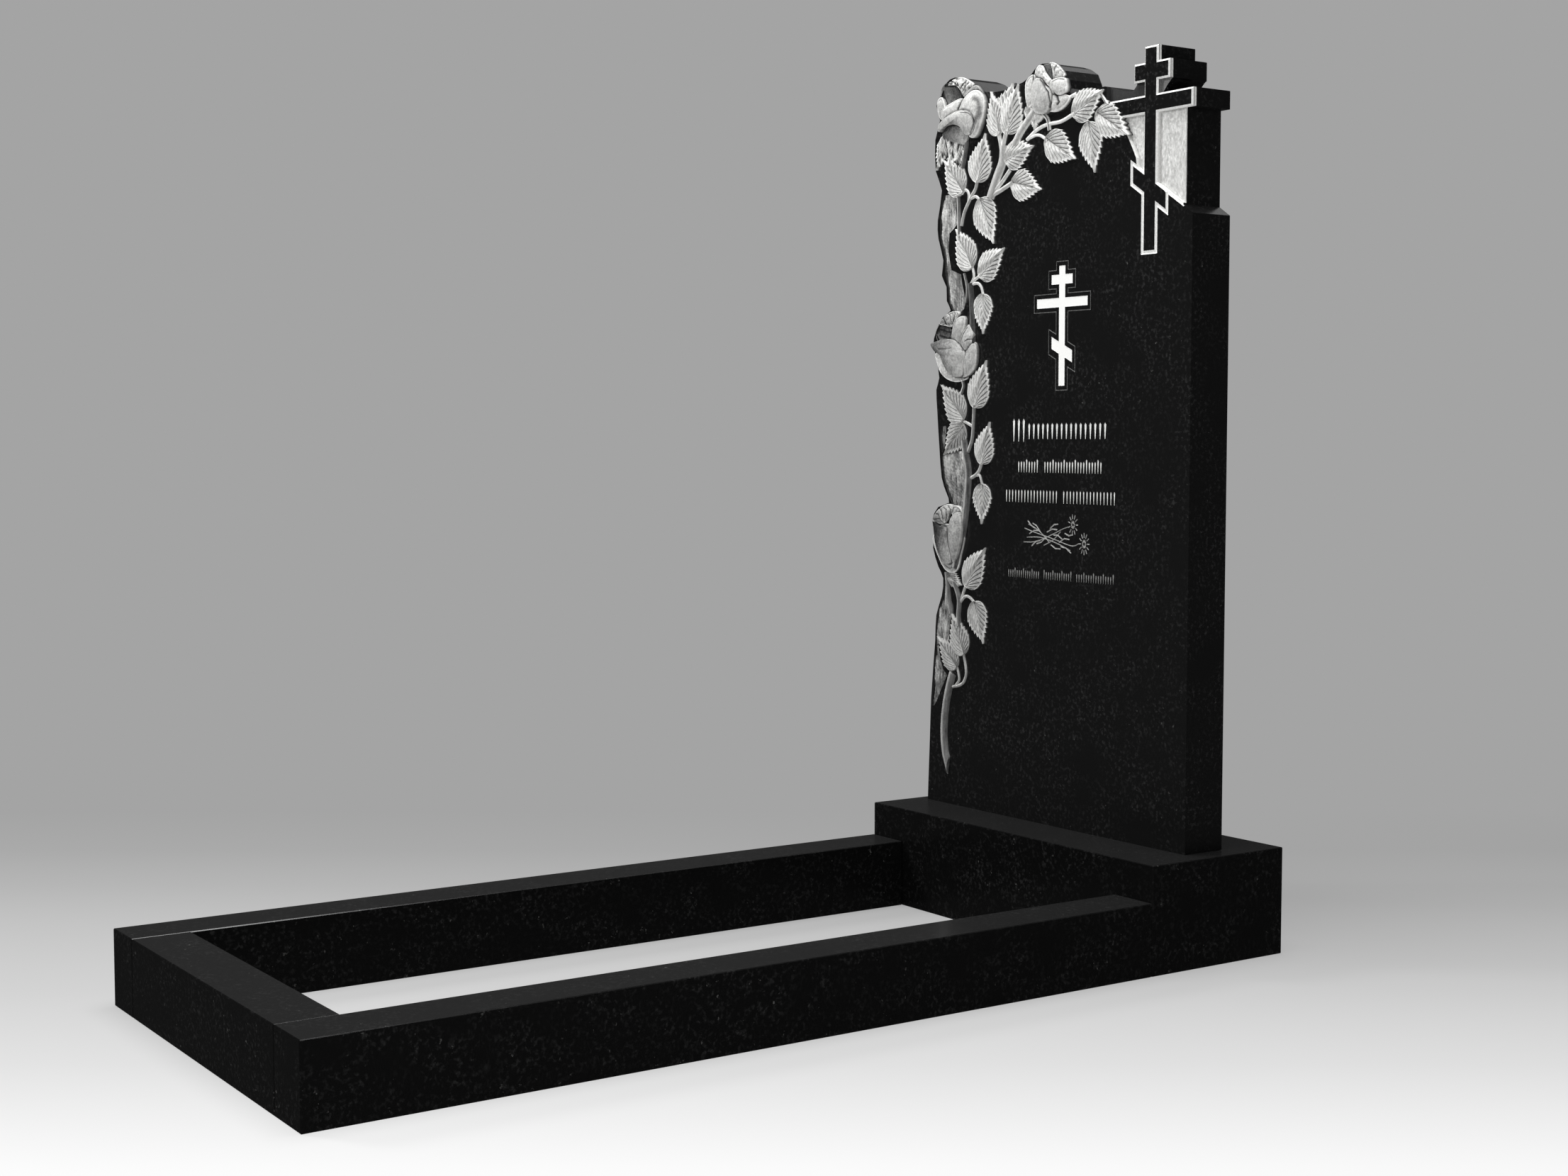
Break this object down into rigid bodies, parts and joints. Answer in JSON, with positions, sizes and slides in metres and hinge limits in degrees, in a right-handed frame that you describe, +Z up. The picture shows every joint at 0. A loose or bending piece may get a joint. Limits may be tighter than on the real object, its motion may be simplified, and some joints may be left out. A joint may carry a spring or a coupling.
{
  "type": "headstone with flower bed",
  "caption": "Carved black granite headstone with roses and a slanted-bar cross, standing on a plinth with an open kerbed planting bed in front.",
  "frame": {"origin": "on the ground, under the middle of the whole memorial's footprint", "axes": "+Z up; the inscribed face looks along -Y and the flower bed runs out towards -Y; +X to the right of someone reading the face"},
  "size_m": [0.7, 1.61, 1.4183],
  "materials": {
    "stele_granite": "polished black granite, with the carving left light grey and matt",
    "plinth_granite": "polished black granite",
    "kerb_granite": "polished black granite"
  },
  "bodies": {
    "root": {"stele": "stele_granite", "plinth": "plinth_granite", "kerb_left": "kerb_granite", "kerb_right": "kerb_granite", "kerb_front": "kerb_granite"}
  },
  "joints": []
}
